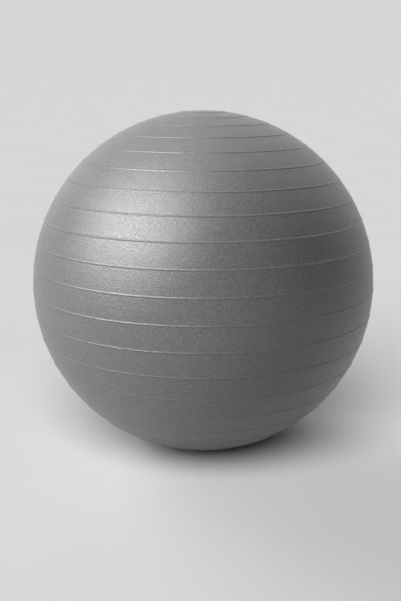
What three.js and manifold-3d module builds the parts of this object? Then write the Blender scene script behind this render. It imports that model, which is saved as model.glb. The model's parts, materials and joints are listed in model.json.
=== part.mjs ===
// An inflated exercise ball. A one-piece ribbed PVC skin holds the air, a valve seat is moulded into a
// round pad on the skin, and an air plug pushes into the seat.
//
// Millimetres, +Z up. The ribs are rings around the Z axis. The origin is the centre of the small flat
// patch that the ball rests on, and the valve is on the +Y side.

import * as THREE from "three";
import { mergeVertices } from "three/addons/utils/BufferGeometryUtils.js";
import Module from "manifold-3d";

const wasm = await Module();
wasm.setup();

const rad = THREE.MathUtils.degToRad;

// Driving dimensions of the skin.
const BALL_RADIUS = 325; // to the smooth skin between the ribs: a 65 cm ball
const WALL = 0.8;
const CONTACT_RADIUS = 40; // the flat patch that the ball's weight presses on the floor
const CONTACT_EDGE_RADIUS = 90; // the rounding between the flat patch and the sphere
const SKIN_SEGMENTS = 48;

// The ribs: low raised rings, a little closer together towards the top of the ball.
const FIRST_RIB = -9;
const LAST_RIB = 11;
const MIDDLE_RIB_LATITUDE = -1.0; // degrees, of rib 0
const RIB_PITCH = 8.15; // degrees between ribs, near rib 0
const RIB_CLOSING = 0.05; // degrees that the pitch loses with the square of the rib's number
const RIB_WIDTH = 4.2;
const RIB_HEIGHT = 0.8;

// The valve, between two ribs on the back of the ball. Its depths are heights along its own axis,
// counted from the smooth skin: positive is out of the ball.
const RIB_BELOW_VALVE = 2;
const PAD_RADIUS = 17.5;
const PAD_TOP = 0.6;
const PAD_BOTTOM = -3;
const PAD_EDGE = 1.2; // the pad's bevel, across and down
const PAD_HOLE_RADIUS = 13;
const GAP = 0.3; // between pieces that touch

const BORE_RADIUS = 4.35;
const RECESS_RADIUS = 10.5;
const RECESS_FLOOR = -1.8;
const FLANGE_RADIUS = 16.5;
const FLANGE_THICKNESS = 1.5;
const TUBE_RADIUS = 6.8;
const TUBE_END = -26;
const VALVE_SEGMENTS = 32;

const PLUG_HEAD_TOP = 1.5; // at the middle of its dome
const PLUG_RIM_TOP = 0.9;
const PLUG_CORE_RADIUS = 3.7;
const PLUG_BEAD_RADIUS = 4.05;
const PLUG_BEADS = 3;
const PLUG_BEAD_PITCH = 4.5;
const PLUG_HOLLOW_RADIUS = 2.2;
const PLUG_HOLLOW_TOP = -5;
const PLUG_END = -23;

// The sphere's centre stands this high when the patch and its rounding are tangent to the floor.
const INNER_REACH = BALL_RADIUS - CONTACT_EDGE_RADIUS;
const CENTRE_HEIGHT = CONTACT_EDGE_RADIUS + Math.sqrt(INNER_REACH ** 2 - CONTACT_RADIUS ** 2);

function ribLatitude(number) {
  return MIDDLE_RIB_LATITUDE + RIB_PITCH * number - RIB_CLOSING * number ** 2;
}

const VALVE_LATITUDE = (ribLatitude(RIB_BELOW_VALVE) + ribLatitude(RIB_BELOW_VALVE + 1)) / 2;

// A point of the ball's section, as its distance from the Z axis and its height above the floor.
function onSphere(radius, latitude) {
  const angle = rad(latitude);
  return new THREE.Vector2(radius * Math.cos(angle), CENTRE_HEIGHT + radius * Math.sin(angle));
}

// The section from the axis along the floor and round the patch's edge, at a depth inside the skin.
function contactSection(depth) {
  const points = [new THREE.Vector2(0, depth)];
  const lastAngle = Math.atan2(CONTACT_RADIUS, CENTRE_HEIGHT - CONTACT_EDGE_RADIUS);
  const steps = 2;
  for (let i = 0; i <= steps; i++) {
    const angle = (lastAngle * i) / steps;
    const radius = CONTACT_EDGE_RADIUS - depth;
    points.push(
      new THREE.Vector2(
        CONTACT_RADIUS + radius * Math.sin(angle),
        CONTACT_EDGE_RADIUS - radius * Math.cos(angle),
      ),
    );
  }
  return points;
}

function outerSection() {
  const points = contactSection(0);
  const halfWidth = THREE.MathUtils.radToDeg(RIB_WIDTH / 2 / BALL_RADIUS);
  for (let number = FIRST_RIB; number <= LAST_RIB; number++) {
    const latitude = ribLatitude(number);
    points.push(onSphere(BALL_RADIUS, latitude - halfWidth));
    points.push(onSphere(BALL_RADIUS + RIB_HEIGHT, latitude));
    points.push(onSphere(BALL_RADIUS, latitude + halfWidth));
  }
  points.push(new THREE.Vector2(0, CENTRE_HEIGHT + BALL_RADIUS));
  return points;
}

function innerSection() {
  const points = contactSection(WALL);
  for (let number = FIRST_RIB; number <= LAST_RIB; number++) {
    points.push(onSphere(BALL_RADIUS - WALL, ribLatitude(number)));
  }
  points.push(new THREE.Vector2(0, CENTRE_HEIGHT + BALL_RADIUS - WALL));
  return points;
}

// A solid of revolution about Z from a section of points, each a distance from the axis and a height.
function turned(points, segments) {
  return new THREE.LatheGeometry(points, segments).rotateX(Math.PI / 2);
}

function section(pairs) {
  return pairs.map(([radius, height]) => new THREE.Vector2(radius, height));
}

function solidOf(geometry) {
  const bare = geometry.clone();
  bare.deleteAttribute("normal");
  bare.deleteAttribute("uv");
  const merged = mergeVertices(bare, 1e-3);
  return new wasm.Manifold(
    new wasm.Mesh({
      numProp: 3,
      vertProperties: merged.attributes.position.array,
      triVerts: new Uint32Array(merged.index.array),
    }),
  );
}

function geometryOf(solid) {
  const mesh = solid.getMesh();
  const geometry = new THREE.BufferGeometry();
  geometry.setAttribute("position", new THREE.BufferAttribute(mesh.vertProperties, 3));
  geometry.setIndex(new THREE.BufferAttribute(mesh.triVerts, 1));
  geometry.computeVertexNormals();
  return geometry;
}

// Everything in the valve is built along +Z from the smooth skin, then placed by this group.
function makeValveGroup() {
  const group = new THREE.Group();
  const angle = rad(VALVE_LATITUDE);
  const outward = new THREE.Vector3(0, Math.cos(angle), Math.sin(angle));
  group.position.copy(outward).multiplyScalar(BALL_RADIUS);
  group.position.z += CENTRE_HEIGHT;
  group.quaternion.setFromUnitVectors(new THREE.Vector3(0, 0, 1), outward);
  group.updateMatrix();
  return group;
}

function makePad() {
  return turned(
    section([
      [0, PAD_BOTTOM],
      [PAD_RADIUS, PAD_BOTTOM],
      [PAD_RADIUS, PAD_TOP - PAD_EDGE],
      [PAD_RADIUS - PAD_EDGE, PAD_TOP],
      [0, PAD_TOP],
    ]),
    VALVE_SEGMENTS,
  );
}

function makePadHole() {
  const length = 4 * (PAD_TOP - PAD_BOTTOM);
  return new THREE.CylinderGeometry(
    PAD_HOLE_RADIUS,
    PAD_HOLE_RADIUS,
    length,
    VALVE_SEGMENTS,
  ).rotateX(Math.PI / 2);
}

// A hollow ball, thickened by the round pad, with the hole that takes the valve seat.
function makeBallSkin(valvePlace) {
  const outside = solidOf(turned(outerSection(), SKIN_SEGMENTS));
  const inside = solidOf(turned(innerSection(), SKIN_SEGMENTS));
  const pad = solidOf(makePad().applyMatrix4(valvePlace));
  const hole = solidOf(makePadHole().applyMatrix4(valvePlace));
  return geometryOf(outside.subtract(inside).add(pad).subtract(hole));
}

// A tube with a dished mouth, and a flange that is bonded under the pad.
function makeValveSeat() {
  const rimRadius = PAD_HOLE_RADIUS - GAP;
  const flangeTop = PAD_BOTTOM - GAP;
  const flangeBottom = flangeTop - FLANGE_THICKNESS;
  const fillet = 1.6;
  const chamfer = 0.8;
  return turned(
    section([
      [BORE_RADIUS + chamfer / 2, TUBE_END],
      [TUBE_RADIUS - chamfer, TUBE_END],
      [TUBE_RADIUS, TUBE_END + chamfer],
      [TUBE_RADIUS, flangeBottom - fillet],
      [TUBE_RADIUS + fillet, flangeBottom],
      [FLANGE_RADIUS, flangeBottom],
      [FLANGE_RADIUS, flangeTop],
      [rimRadius, flangeTop],
      [rimRadius, PAD_TOP - chamfer / 2],
      [rimRadius - chamfer / 2, PAD_TOP],
      [RECESS_RADIUS + chamfer / 2, PAD_TOP],
      [RECESS_RADIUS, PAD_TOP - chamfer / 2],
      [RECESS_RADIUS, RECESS_FLOOR],
      [BORE_RADIUS + chamfer, RECESS_FLOOR],
      [BORE_RADIUS, RECESS_FLOOR - chamfer],
      [BORE_RADIUS, TUBE_END + chamfer],
      [BORE_RADIUS + chamfer / 2, TUBE_END],
    ]),
    VALVE_SEGMENTS,
  );
}

// A push-in stopper: a thin domed head over a hollow stem with sealing beads.
function makeAirPlug() {
  const headRadius = RECESS_RADIUS - GAP;
  const headBottom = RECESS_FLOOR + GAP;
  const beadHalf = 0.9;
  const firstBead = PLUG_END + 4;
  const chamfer = 0.7;
  const points = section([
    [0, PLUG_HOLLOW_TOP],
    [PLUG_HOLLOW_RADIUS, PLUG_HOLLOW_TOP],
    [PLUG_HOLLOW_RADIUS, PLUG_END],
    [PLUG_CORE_RADIUS - chamfer, PLUG_END],
    [PLUG_CORE_RADIUS, PLUG_END + chamfer],
  ]);
  for (let i = 0; i < PLUG_BEADS; i++) {
    const middle = firstBead + PLUG_BEAD_PITCH * i;
    points.push(new THREE.Vector2(PLUG_CORE_RADIUS, middle - beadHalf));
    points.push(new THREE.Vector2(PLUG_BEAD_RADIUS, middle - beadHalf / 3));
    points.push(new THREE.Vector2(PLUG_BEAD_RADIUS, middle + beadHalf / 3));
    points.push(new THREE.Vector2(PLUG_CORE_RADIUS, middle + beadHalf));
  }
  points.push(
    ...section([
      [PLUG_CORE_RADIUS, headBottom],
      [headRadius, headBottom],
      [headRadius, PLUG_RIM_TOP - chamfer],
      [headRadius - chamfer, PLUG_RIM_TOP],
      [headRadius / 2, PLUG_HEAD_TOP - (PLUG_HEAD_TOP - PLUG_RIM_TOP) / 4],
      [0, PLUG_HEAD_TOP],
    ]),
  );
  return turned(points, VALVE_SEGMENTS);
}

const materials = {
  skin: new THREE.MeshStandardMaterial({ color: 0x6a6a6b, roughness: 0.42, metalness: 0 }),
  seat: new THREE.MeshStandardMaterial({ color: 0x606061, roughness: 0.5, metalness: 0 }),
  plug: new THREE.MeshStandardMaterial({ color: 0xe4e3df, roughness: 0.45, metalness: 0 }),
};

function namedMesh(name, geometry, material) {
  const mesh = new THREE.Mesh(geometry, material);
  mesh.name = name;
  return mesh;
}

const ball = new THREE.Group();
const valve = makeValveGroup();
ball.add(namedMesh("ball_skin", makeBallSkin(valve.matrix), materials.skin));
valve.add(namedMesh("valve_seat", makeValveSeat(), materials.seat));
valve.add(namedMesh("air_plug", makeAirPlug(), materials.plug));
ball.add(valve);

export default ball;
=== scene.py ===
"""An inflated, ringed exercise ball of satin grey PVC, with its valve seat and air plug, on a pale floor.

Metres, +Z up. The ball stands on the origin, its valve is on the +Y side, and the camera looks from -Y.
"""

import json
from math import asin, atan2, ceil, cos, degrees, pi, radians, sin, sqrt

import bmesh
import bpy
from mathutils import Matrix, Vector


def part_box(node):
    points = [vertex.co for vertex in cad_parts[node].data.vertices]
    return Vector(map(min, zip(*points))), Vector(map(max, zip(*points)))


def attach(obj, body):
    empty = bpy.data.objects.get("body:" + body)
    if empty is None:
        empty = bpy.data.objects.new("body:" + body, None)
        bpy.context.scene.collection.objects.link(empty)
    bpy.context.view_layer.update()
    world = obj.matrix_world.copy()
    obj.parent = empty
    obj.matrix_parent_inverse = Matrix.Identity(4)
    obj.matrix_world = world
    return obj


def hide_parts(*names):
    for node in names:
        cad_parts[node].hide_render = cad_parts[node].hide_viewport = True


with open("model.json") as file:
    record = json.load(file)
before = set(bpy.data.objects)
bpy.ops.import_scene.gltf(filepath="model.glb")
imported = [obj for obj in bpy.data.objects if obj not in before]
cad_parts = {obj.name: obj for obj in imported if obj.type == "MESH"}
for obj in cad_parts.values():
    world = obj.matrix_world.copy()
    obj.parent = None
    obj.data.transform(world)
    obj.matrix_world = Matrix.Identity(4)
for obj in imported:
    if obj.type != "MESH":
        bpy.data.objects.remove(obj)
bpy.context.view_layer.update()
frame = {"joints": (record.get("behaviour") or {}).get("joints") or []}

MM = 0.001

# The skin's driving dimensions, as in the CAD part.
WALL = 0.8 * MM
CONTACT_RADIUS = 40 * MM  # the flat patch that the ball's weight presses on the floor
CONTACT_EDGE_RADIUS = 90 * MM  # the rounding between the flat patch and the sphere

# The ribs are rings round the Z axis, in degrees. Rib 0 is the one nearest the ball's middle.
FIRST_RIB = -9
LAST_RIB = 11
MIDDLE_RIB_LATITUDE = -1.0
RIB_PITCH = 8.15
RIB_CLOSING = 0.05  # what the pitch loses with the square of the rib's number
RIB_WIDTH = 4.2 * MM
RIB_HEIGHT = 0.8 * MM
RIB_BELOW_VALVE = 2

# The valve's depths are heights along its own axis from the smooth skin, positive out of the ball.
GAP = 0.3 * MM  # between pieces that touch
PAD_RADIUS = 17.5 * MM
PAD_TOP = 0.6 * MM
PAD_BOTTOM = -3 * MM
PAD_SHOULDER = 2.4 * MM  # how far in from its foot the pad reaches its full height
PAD_EDGE = 0.35 * MM
PAD_HOLE_RADIUS = 13 * MM

BORE_RADIUS = 4.35 * MM
RECESS_RADIUS = 10.5 * MM
RECESS_FLOOR = -1.8 * MM
FLANGE_RADIUS = 16.5 * MM
FLANGE_BOTTOM = -4.8 * MM
TUBE_RADIUS = 6.8 * MM
TUBE_END = -26 * MM
SEAT_EDGE = 0.5 * MM
SEAT_TIP = 0.7 * MM  # the rounding at both ends of the bore
SEAT_FILLET = 1.6 * MM

PLUG_HEAD_TOP = 1.5 * MM
PLUG_RIM_TOP = 0.9 * MM
PLUG_LIP = 2.0 * MM  # from the head's edge to the fine groove round its dome
PLUG_GROOVE = 0.25 * MM
PLUG_NECK = 0.5 * MM
PLUG_EDGE = 0.7 * MM
PLUG_CORE_RADIUS = 3.7 * MM
PLUG_BEAD_RADIUS = 4.05 * MM
PLUG_BEAD_HALF = 0.9 * MM
PLUG_BEADS = 3
PLUG_BEAD_PITCH = 4.5 * MM
PLUG_FIRST_BEAD = 4 * MM  # above the stem's tip
PLUG_HOLLOW_RADIUS = 2.2 * MM
PLUG_HOLLOW_TOP = -5 * MM
PLUG_END = -23 * MM
GATE_RADIUS = 0.9 * MM  # the mark that the mould's gate leaves in the middle of the head
GATE_HEIGHT = 0.2 * MM

# How finely the skin and the valve are meshed. A rib's rows are at parts of its half width.
SKIN_SEGMENTS = 256
INNER_SEGMENTS = 128
INNER_ROW_STEP = 2.0
RIB_OFFSETS = (-1.3, -1, -0.75, -0.5, -0.25, 0, 0.25, 0.5, 0.75, 1, 1.3)
ROWS_BETWEEN_RIBS = 2
PAD_STEPS = 8
DOME_STEPS = 6
BEAD_STEPS = 4
VALVE_SEGMENTS = 64
VALVE_WINDOW = PAD_RADIUS + 2 * MM
SKIN_SHARP_ANGLE = 55
VALVE_SHARP_ANGLE = 40

# Places that come from the frame. The skin is widest at the crest of rib 0, and the only joint pulls the
# plug out along the valve's axis.
skin_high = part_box("ball_skin")[1]
BALL_RADIUS = skin_high.x / cos(radians(MIDDLE_RIB_LATITUDE)) - RIB_HEIGHT
CENTRE = Vector((0, 0, skin_high.z - BALL_RADIUS))
VALVE_AXIS = Vector(frame["joints"][0]["axis"]).normalized()
VALVE_PLACE = Matrix.Translation(CENTRE + BALL_RADIUS * VALVE_AXIS) @ (
    Vector((0, 0, 1)).rotation_difference(VALVE_AXIS).to_matrix().to_4x4()
)


# ---------------------------------------------------------------- sections
# A section's points are a distance from the axis and a height.


def arc(centre, radius, start, end, steps):
    """Points on an arc between two angles, in degrees counted from straight out."""
    points = []
    for i in range(steps + 1):
        angle = radians(start + (end - start) * i / steps)
        points.append((centre[0] + radius * cos(angle), centre[1] + radius * sin(angle)))
    return points


def rib_latitude(number):
    return MIDDLE_RIB_LATITUDE + RIB_PITCH * number - RIB_CLOSING * number**2


def rib_height(offset):
    """The height of a rounded rib at an offset from its middle. Its feet are at -1 and 1."""
    return RIB_HEIGHT * max(0, 1 - offset**2) ** 2


def on_sphere(radius, latitude):
    angle = radians(latitude)
    return radius * cos(angle), CENTRE.z + radius * sin(angle)


def rows_between(start, end):
    """The rows of smooth skin between two latitudes, without the ends."""
    steps = ROWS_BETWEEN_RIBS + 1
    return [on_sphere(BALL_RADIUS, start + (end - start) * i / steps) for i in range(1, steps)]


def contact_section(depth, steps):
    """The flat contact patch and its rounded edge, from the axis outwards."""
    points = [(CONTACT_RADIUS * i / 3, depth) for i in range(3)]
    last = atan2(CONTACT_RADIUS, CENTRE.z - CONTACT_EDGE_RADIUS)
    radius = CONTACT_EDGE_RADIUS - depth
    for i in range(steps + 1):
        angle = last * i / steps
        points.append((CONTACT_RADIUS + radius * sin(angle), CONTACT_EDGE_RADIUS - radius * cos(angle)))
    return points


def outer_section():
    """The skin's outside from pole to pole, and its rows just below and just above the valve."""
    points = contact_section(depth=0, steps=6)
    half_width = degrees(RIB_WIDTH / 2 / BALL_RADIUS)
    start = degrees(asin((points[-1][1] - CENTRE.z) / BALL_RADIUS))
    rows = {}
    for number in range(FIRST_RIB, LAST_RIB + 1):
        middle = rib_latitude(number)
        points += rows_between(start, middle + half_width * RIB_OFFSETS[0])
        rows[number] = len(points)
        for offset in RIB_OFFSETS:
            points.append(on_sphere(BALL_RADIUS + rib_height(offset), middle + half_width * offset))
        start = middle + half_width * RIB_OFFSETS[-1]
    points += rows_between(start, 90)
    points.append((0, CENTRE.z + BALL_RADIUS))
    return points, rows[RIB_BELOW_VALVE] + len(RIB_OFFSETS) - 1, rows[RIB_BELOW_VALVE + 1]


def inner_section():
    """The skin's inside from pole to pole, and its rows just below and just above the valve."""
    points = contact_section(depth=WALL, steps=2)
    radius = BALL_RADIUS - WALL
    start = degrees(asin((points[-1][1] - CENTRE.z) / radius))
    count = round((90 - start) / INNER_ROW_STEP)
    latitudes = [start + (90 - start) * i / count for i in range(1, count)]
    valve_latitude = degrees(asin(VALVE_AXIS.z))
    reach = degrees(PAD_RADIUS / radius) + INNER_ROW_STEP / 4
    below = max(i for i, latitude in enumerate(latitudes) if latitude < valve_latitude - reach)
    above = min(i for i, latitude in enumerate(latitudes) if latitude > valve_latitude + reach)
    first = len(points)
    points += [on_sphere(radius, latitude) for latitude in latitudes]
    points.append((0, CENTRE.z + radius))
    return points, first + below, first + above


def depth_on_sphere(radius, distance):
    """The height, on the valve's scale, of a sphere about the ball's centre at a distance from its axis."""
    return sqrt(radius**2 - distance**2) - BALL_RADIUS


def pad_section():
    """The raised pad, from its foot on the skin, over its top and down its hole, to the skin's inside."""
    points = []
    for i in range(PAD_STEPS + 1):
        share = i / PAD_STEPS
        rise = share * share * (3 - 2 * share)
        radius = PAD_RADIUS - PAD_SHOULDER * share
        points.append((radius, depth_on_sphere(BALL_RADIUS, radius) * (1 - rise) + PAD_TOP * rise))
    points += arc((PAD_HOLE_RADIUS + PAD_EDGE, PAD_TOP - PAD_EDGE), PAD_EDGE, 90, 180, 3)
    points += [
        (PAD_HOLE_RADIUS, PAD_BOTTOM),
        (PAD_RADIUS - PAD_EDGE, PAD_BOTTOM),
        (PAD_RADIUS, PAD_BOTTOM + PAD_EDGE),
        (PAD_RADIUS, depth_on_sphere(BALL_RADIUS - WALL, PAD_RADIUS)),
    ]
    return points


def seat_section():
    """The seat's tube, its bonded flange, its rim flush with the pad, its dish and its bore."""
    rim = PAD_HOLE_RADIUS - GAP
    flange_top = PAD_BOTTOM - GAP
    edge = SEAT_EDGE
    tip = SEAT_TIP
    fillet = SEAT_FILLET
    points = arc((BORE_RADIUS + tip, TUBE_END + tip), tip, 180, 270, 4)
    points += arc((TUBE_RADIUS - tip, TUBE_END + tip), tip, 270, 360, 4)
    points.append((TUBE_RADIUS, (TUBE_END + FLANGE_BOTTOM) / 2))
    points += arc((TUBE_RADIUS + fillet, FLANGE_BOTTOM - fillet), fillet, 180, 90, 5)
    points += arc((FLANGE_RADIUS - edge, FLANGE_BOTTOM + edge), edge, 270, 360, 3)
    points += arc((FLANGE_RADIUS - edge, flange_top - edge), edge, 0, 90, 3)
    points.append((rim, flange_top))
    points += arc((rim - edge, PAD_TOP - edge), edge, 0, 90, 4)
    points += arc((RECESS_RADIUS + edge, PAD_TOP - edge), edge, 90, 180, 4)
    points += arc((RECESS_RADIUS - edge, RECESS_FLOOR + edge), edge, 0, -90, 4)
    points += arc((BORE_RADIUS + tip, RECESS_FLOOR - tip), tip, 90, 180, 4)
    return points


def stem_section():
    """The plug's stem: down its hollow, round its open end and up over its sealing beads."""
    edge = PLUG_EDGE
    points = [(0, PLUG_HOLLOW_TOP)]
    points += arc((PLUG_HOLLOW_RADIUS - edge, PLUG_HOLLOW_TOP - edge), edge, 90, 0, 4)
    points.append((PLUG_HOLLOW_RADIUS, PLUG_END + edge / 2))
    points.append((PLUG_HOLLOW_RADIUS + edge / 3, PLUG_END))
    points += arc((PLUG_CORE_RADIUS - edge, PLUG_END + edge), edge, 270, 360, 4)
    bead_rise = PLUG_BEAD_RADIUS - PLUG_CORE_RADIUS
    for number in range(PLUG_BEADS):
        middle = PLUG_END + PLUG_FIRST_BEAD + PLUG_BEAD_PITCH * number
        for i in range(-BEAD_STEPS, BEAD_STEPS + 1):
            offset = i / BEAD_STEPS
            radius = PLUG_CORE_RADIUS + bead_rise * (1 - offset**2)
            points.append((radius, middle + PLUG_BEAD_HALF * offset))
    return points


def head_section():
    """The plug's head: its neck, its rounded edge, the fine groove, the dome and the gate mark."""
    head = RECESS_RADIUS - GAP
    bottom = RECESS_FLOOR + GAP
    edge = PLUG_EDGE
    points = arc((PLUG_CORE_RADIUS + PLUG_NECK, bottom - PLUG_NECK), PLUG_NECK, 180, 90, 4)
    points += arc((head - edge / 2, bottom + edge / 2), edge / 2, 270, 360, 3)
    points += arc((head - edge, PLUG_RIM_TOP - edge), edge, 0, 90, 5)
    lip = head - PLUG_LIP
    points += [
        (lip + 2 * PLUG_GROOVE, PLUG_RIM_TOP),
        (lip + PLUG_GROOVE, PLUG_RIM_TOP - PLUG_GROOVE / 2),
        (lip, PLUG_RIM_TOP - PLUG_GROOVE / 2),
        (lip - PLUG_GROOVE, PLUG_RIM_TOP),
    ]
    dome_radius = lip - 2 * PLUG_GROOVE
    for i in range(DOME_STEPS):
        share = 1 - i / DOME_STEPS
        height = PLUG_RIM_TOP + (PLUG_HEAD_TOP - PLUG_RIM_TOP) * (1 - share**2)
        points.append((dome_radius * share, height))
    points += [
        (GATE_RADIUS, PLUG_HEAD_TOP),
        (GATE_RADIUS * 0.9, PLUG_HEAD_TOP + GATE_HEIGHT * 0.75),
        (0, PLUG_HEAD_TOP + GATE_HEIGHT),
    ]
    return points


# ---------------------------------------------------------------- meshes


def add_ring(bm, radius, height, segments, place):
    """Adds a ring of vertices about a place's axis. On the axis it is a single vertex."""
    if radius == 0:
        return [bm.verts.new(place @ Vector((0, 0, height)))]
    ring = []
    for i in range(segments):
        angle = 2 * pi * i / segments
        corner = Vector((radius * cos(angle), radius * sin(angle), height))
        ring.append(bm.verts.new(place @ corner))
    return ring


def join_rings(bm, first, second):
    """Adds the faces between two rings, as a fan where one of them is a single vertex."""
    segments = max(len(first), len(second))
    for i in range(segments):
        j = (i + 1) % segments
        corners = [
            first[i % len(first)],
            first[j % len(first)],
            second[j % len(second)],
            second[i % len(second)],
        ]
        bm.faces.new(list(dict.fromkeys(corners)))


def add_turned(bm, section, segments, place):
    """Adds a section turned about a place's axis. Returns its rings of vertices."""
    rings = [add_ring(bm, radius, height, segments, place) for radius, height in section]
    for first, second in zip(rings, rings[1:]):
        join_rings(bm, first, second)
    return rings


def open_window(bm, rings, low, high):
    """Removes the faces round the valve between two rings. Returns the edges of the hole."""
    segments = len(rings[low])
    middle = segments // 4  # a quarter of a turn from +X, so on the +Y side
    spacing = 2 * pi * BALL_RADIUS * VALVE_AXIS.y / segments
    reach = ceil(VALVE_WINDOW / spacing)
    columns = range(middle - reach, middle + reach + 1)
    inside = {ring[column] for ring in rings[low : high + 1] for column in columns}
    faces = [face for face in bm.faces if all(corner in inside for corner in face.verts)]
    rim = [edge for face in faces for edge in face.edges if not all(f in faces for f in edge.link_faces)]
    bmesh.ops.delete(bm, geom=faces, context="FACES")
    return [edge for edge in rim if edge.is_valid]


def fill_round_valve(bm, rim, ring):
    """Fills the skin between the window's rim and a ring of the pad."""
    ring_edges = [bm.edges.get((ring[i - 1], ring[i])) for i in range(len(ring))]
    bmesh.ops.triangle_fill(bm, edges=rim + ring_edges, use_beauty=True, normal=VALVE_AXIS)


def finish_mesh(bm, name, sharp_angle=30):
    """Turns the mesh code's result into a smooth-shaded object, with edges past the angle kept sharp."""
    bmesh.ops.recalc_face_normals(bm, faces=bm.faces)
    mesh = bpy.data.meshes.new(name)
    bm.to_mesh(mesh)
    bm.free()
    mesh.polygons.foreach_set("use_smooth", [True] * len(mesh.polygons))
    mesh.set_sharp_from_angle(angle=radians(sharp_angle))
    piece = bpy.data.objects.new(name, mesh)
    bpy.context.scene.collection.objects.link(piece)
    return piece


def make_ball_skin():
    """The hollow ringed skin with the pad and its hole, as one closed surface."""
    bm = bmesh.new()
    section, low, high = outer_section()
    outer_rings = add_turned(bm, section, SKIN_SEGMENTS, Matrix())
    outer_rim = open_window(bm, outer_rings, low, high)
    section, low, high = inner_section()
    inner_rings = add_turned(bm, section, INNER_SEGMENTS, Matrix())
    inner_rim = open_window(bm, inner_rings, low, high)
    pad_rings = add_turned(bm, pad_section(), VALVE_SEGMENTS, VALVE_PLACE)
    fill_round_valve(bm, outer_rim, pad_rings[0])
    fill_round_valve(bm, inner_rim, pad_rings[-1])
    loose = [corner for corner in bm.verts if not corner.link_faces]
    bmesh.ops.delete(bm, geom=loose, context="VERTS")
    return finish_mesh(bm, "ball_skin_fine", SKIN_SHARP_ANGLE)


def make_valve_seat():
    """The dished insert, whose section closes on itself."""
    bm = bmesh.new()
    rings = add_turned(bm, seat_section(), VALVE_SEGMENTS, VALVE_PLACE)
    join_rings(bm, rings[-1], rings[0])
    return finish_mesh(bm, "valve_seat_fine", VALVE_SHARP_ANGLE)


def make_air_plug():
    """The stopper, whose section starts and ends on the axis."""
    bm = bmesh.new()
    add_turned(bm, stem_section() + head_section(), VALVE_SEGMENTS, VALVE_PLACE)
    return finish_mesh(bm, "air_plug_fine", VALVE_SHARP_ANGLE)


# ---------------------------------------------------------------- materials
# Textures are in the object's own metres, so a scale is in features a metre.

# Nearly all of a noise texture's values lie between these.
NOISE_LOW = 0.3
NOISE_HIGH = 0.7


def grey(level):
    return level, level, level


def new_material(name):
    material = bpy.data.materials.new(name)
    material.use_nodes = True
    nodes = material.node_tree.nodes
    return material, nodes, material.node_tree.links, nodes["Principled BSDF"]


def add_noise(nodes, links, scale, detail):
    coordinates = nodes.new("ShaderNodeTexCoord")
    noise = nodes.new("ShaderNodeTexNoise")
    noise.inputs["Scale"].default_value = scale
    noise.inputs["Detail"].default_value = detail
    links.new(coordinates.outputs["Object"], noise.inputs["Vector"])
    return noise.outputs["Fac"]


def add_pebbles(nodes, links, scale):
    """Close-set round grains, as a height."""
    coordinates = nodes.new("ShaderNodeTexCoord")
    cells = nodes.new("ShaderNodeTexVoronoi")
    cells.feature = "F1"
    cells.inputs["Scale"].default_value = scale
    links.new(coordinates.outputs["Object"], cells.inputs["Vector"])
    return cells.outputs["Distance"]


def add_ramp(nodes, links, source, low, high, start=0.35, end=0.65):
    """Maps values from start to end to a range of colours."""
    ramp = nodes.new("ShaderNodeValToRGB")
    ramp.color_ramp.elements[0].position = start
    ramp.color_ramp.elements[1].position = end
    ramp.color_ramp.elements[0].color = (*low, 1)
    ramp.color_ramp.elements[1].color = (*high, 1)
    links.new(source, ramp.inputs["Fac"])
    return ramp.outputs["Color"]


def add_range(nodes, links, source, low, high):
    """Maps a noise texture's values to a range of numbers."""
    node = nodes.new("ShaderNodeMapRange")
    node.inputs["From Min"].default_value = NOISE_LOW
    node.inputs["From Max"].default_value = NOISE_HIGH
    node.inputs["To Min"].default_value = low
    node.inputs["To Max"].default_value = high
    links.new(source, node.inputs["Value"])
    return node.outputs["Result"]


def add_bump(nodes, links, height, distance, strength):
    bump = nodes.new("ShaderNodeBump")
    bump.inputs["Distance"].default_value = distance
    bump.inputs["Strength"].default_value = strength
    links.new(height, bump.inputs["Height"])
    return bump.outputs["Normal"]


def skin_material():
    """Satin grey soft PVC with a fine pebble grain, a pearly speckle and a speckled gloss."""
    material, nodes, links, shader = new_material("satin_pvc")
    pearl = add_noise(nodes, links, scale=760, detail=0)
    colour = add_ramp(nodes, links, pearl, grey(0.068), grey(0.146), start=NOISE_LOW, end=NOISE_HIGH)
    links.new(colour, shader.inputs["Base Color"])
    gloss = add_noise(nodes, links, scale=700, detail=0)
    links.new(add_range(nodes, links, gloss, low=0.24, high=0.44), shader.inputs["Roughness"])
    shader.inputs["Specular IOR Level"].default_value = 0.8
    pebbles = add_pebbles(nodes, links, scale=660)
    normal = add_bump(nodes, links, pebbles, distance=0.40 * MM, strength=1.0)
    links.new(normal, shader.inputs["Normal"])
    return material


def seat_material():
    """The same PVC, smoother and a little darker where it was moulded against metal."""
    material, nodes, links, shader = new_material("seat_pvc")
    mottle = add_noise(nodes, links, scale=120, detail=3)
    colour = add_ramp(nodes, links, mottle, (0.080, 0.080, 0.081), (0.095, 0.095, 0.096))
    links.new(colour, shader.inputs["Base Color"])
    shader.inputs["Roughness"].default_value = 0.45
    grain = add_noise(nodes, links, scale=1500, detail=2)
    normal = add_bump(nodes, links, grain, distance=0.05 * MM, strength=0.6)
    links.new(normal, shader.inputs["Normal"])
    return material


def plug_material():
    """White moulded polyethylene, half gloss, that lets a little light in."""
    material, nodes, links, shader = new_material("white_polyethylene")
    mottle = add_noise(nodes, links, scale=180, detail=3)
    colour = add_ramp(nodes, links, mottle, (0.74, 0.73, 0.70), (0.80, 0.79, 0.76))
    links.new(colour, shader.inputs["Base Color"])
    shader.inputs["Roughness"].default_value = 0.38
    shader.inputs["Subsurface Weight"].default_value = 0.15
    shader.inputs["Subsurface Scale"].default_value = 1.5 * MM
    flow = add_noise(nodes, links, scale=700, detail=2)
    normal = add_bump(nodes, links, flow, distance=0.04 * MM, strength=0.5)
    links.new(normal, shader.inputs["Normal"])
    return material


# ---------------------------------------------------------------- studio

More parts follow.
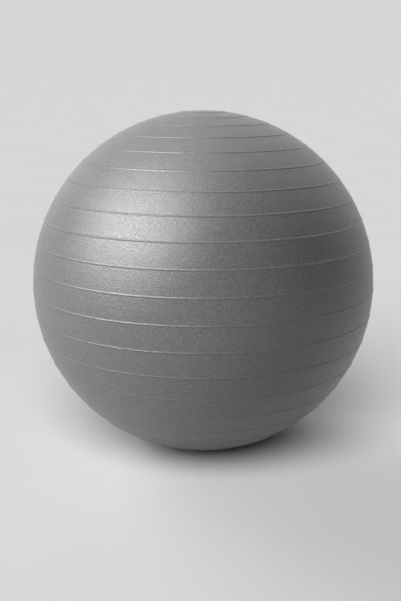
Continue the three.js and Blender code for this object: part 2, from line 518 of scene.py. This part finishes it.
FLOOR_ALBEDO = 0.6
FLOOR_MOTTLE = 0.01  # how far the floor's shade strays from its albedo, as a share of it
FLOOR_SIZE = 400
FLOOR_DROP = 0.3 * MM  # below the ball's foot, so that the two faces don't coincide

# The ball and the floor have lights of their own: a strong soft key on the ball, weak shadows on the floor.
# Each light has its direction, in degrees round from +X and up from the floor, then its width in degrees
# and its strength.
BALL_LIGHTS = {
    "key_light": (210, 35, 43, 5.95),
    "left_fill": (162, 4, 90, 0.6),
    "top_light": (192, 67, 50, 1.3),
    "back_light": (77, 23, 108, 1.75),
}
FLOOR_LIGHTS = {
    "floor_front": (257, 42, 48, 4.0),
    "floor_side": (132, 14, 40, 3.5),
}
LIGHT_DISTANCE = 3  # where a light's marker stands, which its light doesn't depend on

CAMERA_DISTANCE = 5.6 * BALL_RADIUS
CAMERA_ELEVATION = 12.2
CAMERA_LENS = 56.1  # in millimetres, as the sensor
CAMERA_SENSOR = 36
CAMERA_REACH = 500  # past the far edge of the floor
AIM_BELOW = 1.2  # degrees that the camera looks below the ball's centre
AIM_LEFT = 0.165  # degrees that it looks to the left of it


def make_camera():
    """Looks along +Y from a little above the ball, with the ball a touch high in the frame."""
    data = bpy.data.cameras.new("camera")
    data.lens = CAMERA_LENS
    data.sensor_width = CAMERA_SENSOR
    data.clip_end = CAMERA_REACH
    camera = bpy.data.objects.new("camera", data)
    elevation = radians(CAMERA_ELEVATION)
    back = Vector((0, -cos(elevation), sin(elevation)))
    camera.location = CENTRE + CAMERA_DISTANCE * back
    camera.rotation_euler = (pi / 2 - elevation - radians(AIM_BELOW), 0, radians(AIM_LEFT))
    bpy.context.scene.collection.objects.link(camera)
    bpy.context.scene.camera = camera


def make_world():
    """A backdrop as bright as the open floor, so that no horizon shows. Only the camera sees it."""
    lights = FLOOR_LIGHTS.values()
    light_on_floor = sum(strength * sin(radians(up)) for around, up, width, strength in lights)
    level = FLOOR_ALBEDO * light_on_floor / pi
    world = bpy.data.worlds.new("studio")
    world.use_nodes = True
    nodes = world.node_tree.nodes
    backdrop = nodes["Background"]
    backdrop.inputs["Color"].default_value = (*grey(level), 1)
    ray = nodes.new("ShaderNodeLightPath")
    world.node_tree.links.new(ray.outputs["Is Camera Ray"], backdrop.inputs["Strength"])
    bpy.context.scene.world = world


def make_floor():
    """A plain matt floor that runs on to the horizon."""
    bm = bmesh.new()
    half = FLOOR_SIZE / 2
    corners = [(-half, -half), (half, -half), (half, half), (-half, half)]
    bm.faces.new([bm.verts.new((x, y, -FLOOR_DROP)) for x, y in corners])
    floor = finish_mesh(bm, "studio_floor")
    material, nodes, links, shader = new_material("studio_paper")
    mottle = add_noise(nodes, links, scale=2, detail=2)
    low = grey(FLOOR_ALBEDO * (1 - FLOOR_MOTTLE))
    high = grey(FLOOR_ALBEDO * (1 + FLOOR_MOTTLE))
    links.new(add_ramp(nodes, links, mottle, low, high), shader.inputs["Base Color"])
    shader.inputs["Roughness"].default_value = 0.9
    shader.inputs["Specular IOR Level"].default_value = 0
    floor.data.materials.append(material)
    return floor


def direction(around, up):
    """The unit vector at an angle round from +X and an angle up from the floor."""
    return Vector((cos(up) * cos(around), cos(up) * sin(around), sin(up)))


def make_light(name, setting, lit):
    """A broad light far away that lights only the given pieces."""
    around, up, width, strength = setting
    data = bpy.data.lights.new(name, "SUN")
    data.energy = strength
    data.angle = radians(width)
    light = bpy.data.objects.new(name, data)
    away = direction(radians(around), radians(up))
    light.rotation_mode = "QUATERNION"
    light.rotation_quaternion = away.to_track_quat("Z", "Y")
    light.location = CENTRE + LIGHT_DISTANCE * away
    bpy.context.scene.collection.objects.link(light)
    receivers = bpy.data.collections.new(name + "_receivers")
    for piece in lit:
        receivers.objects.link(piece)
    light.light_linking.receiver_collection = receivers


# ---------------------------------------------------------------- assembly


def hand_over(piece, material, body, node):
    """Gives a piece its material, says what it rides on, and hides the CAD part that it stands for."""
    piece.data.materials.append(material)
    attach(piece, body)
    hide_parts(node)


make_camera()
make_world()
skin = make_ball_skin()
seat = make_valve_seat()
plug = make_air_plug()
hand_over(skin, skin_material(), "ball", "ball_skin")
hand_over(seat, seat_material(), "ball", "valve_seat")
hand_over(plug, plug_material(), "plug", "air_plug")
floor = make_floor()
for name, setting in BALL_LIGHTS.items():
    make_light(name, setting, [skin, seat, plug])
for name, setting in FLOOR_LIGHTS.items():
    make_light(name, setting, [floor])

bpy.context.scene.view_settings.view_transform = "Standard"
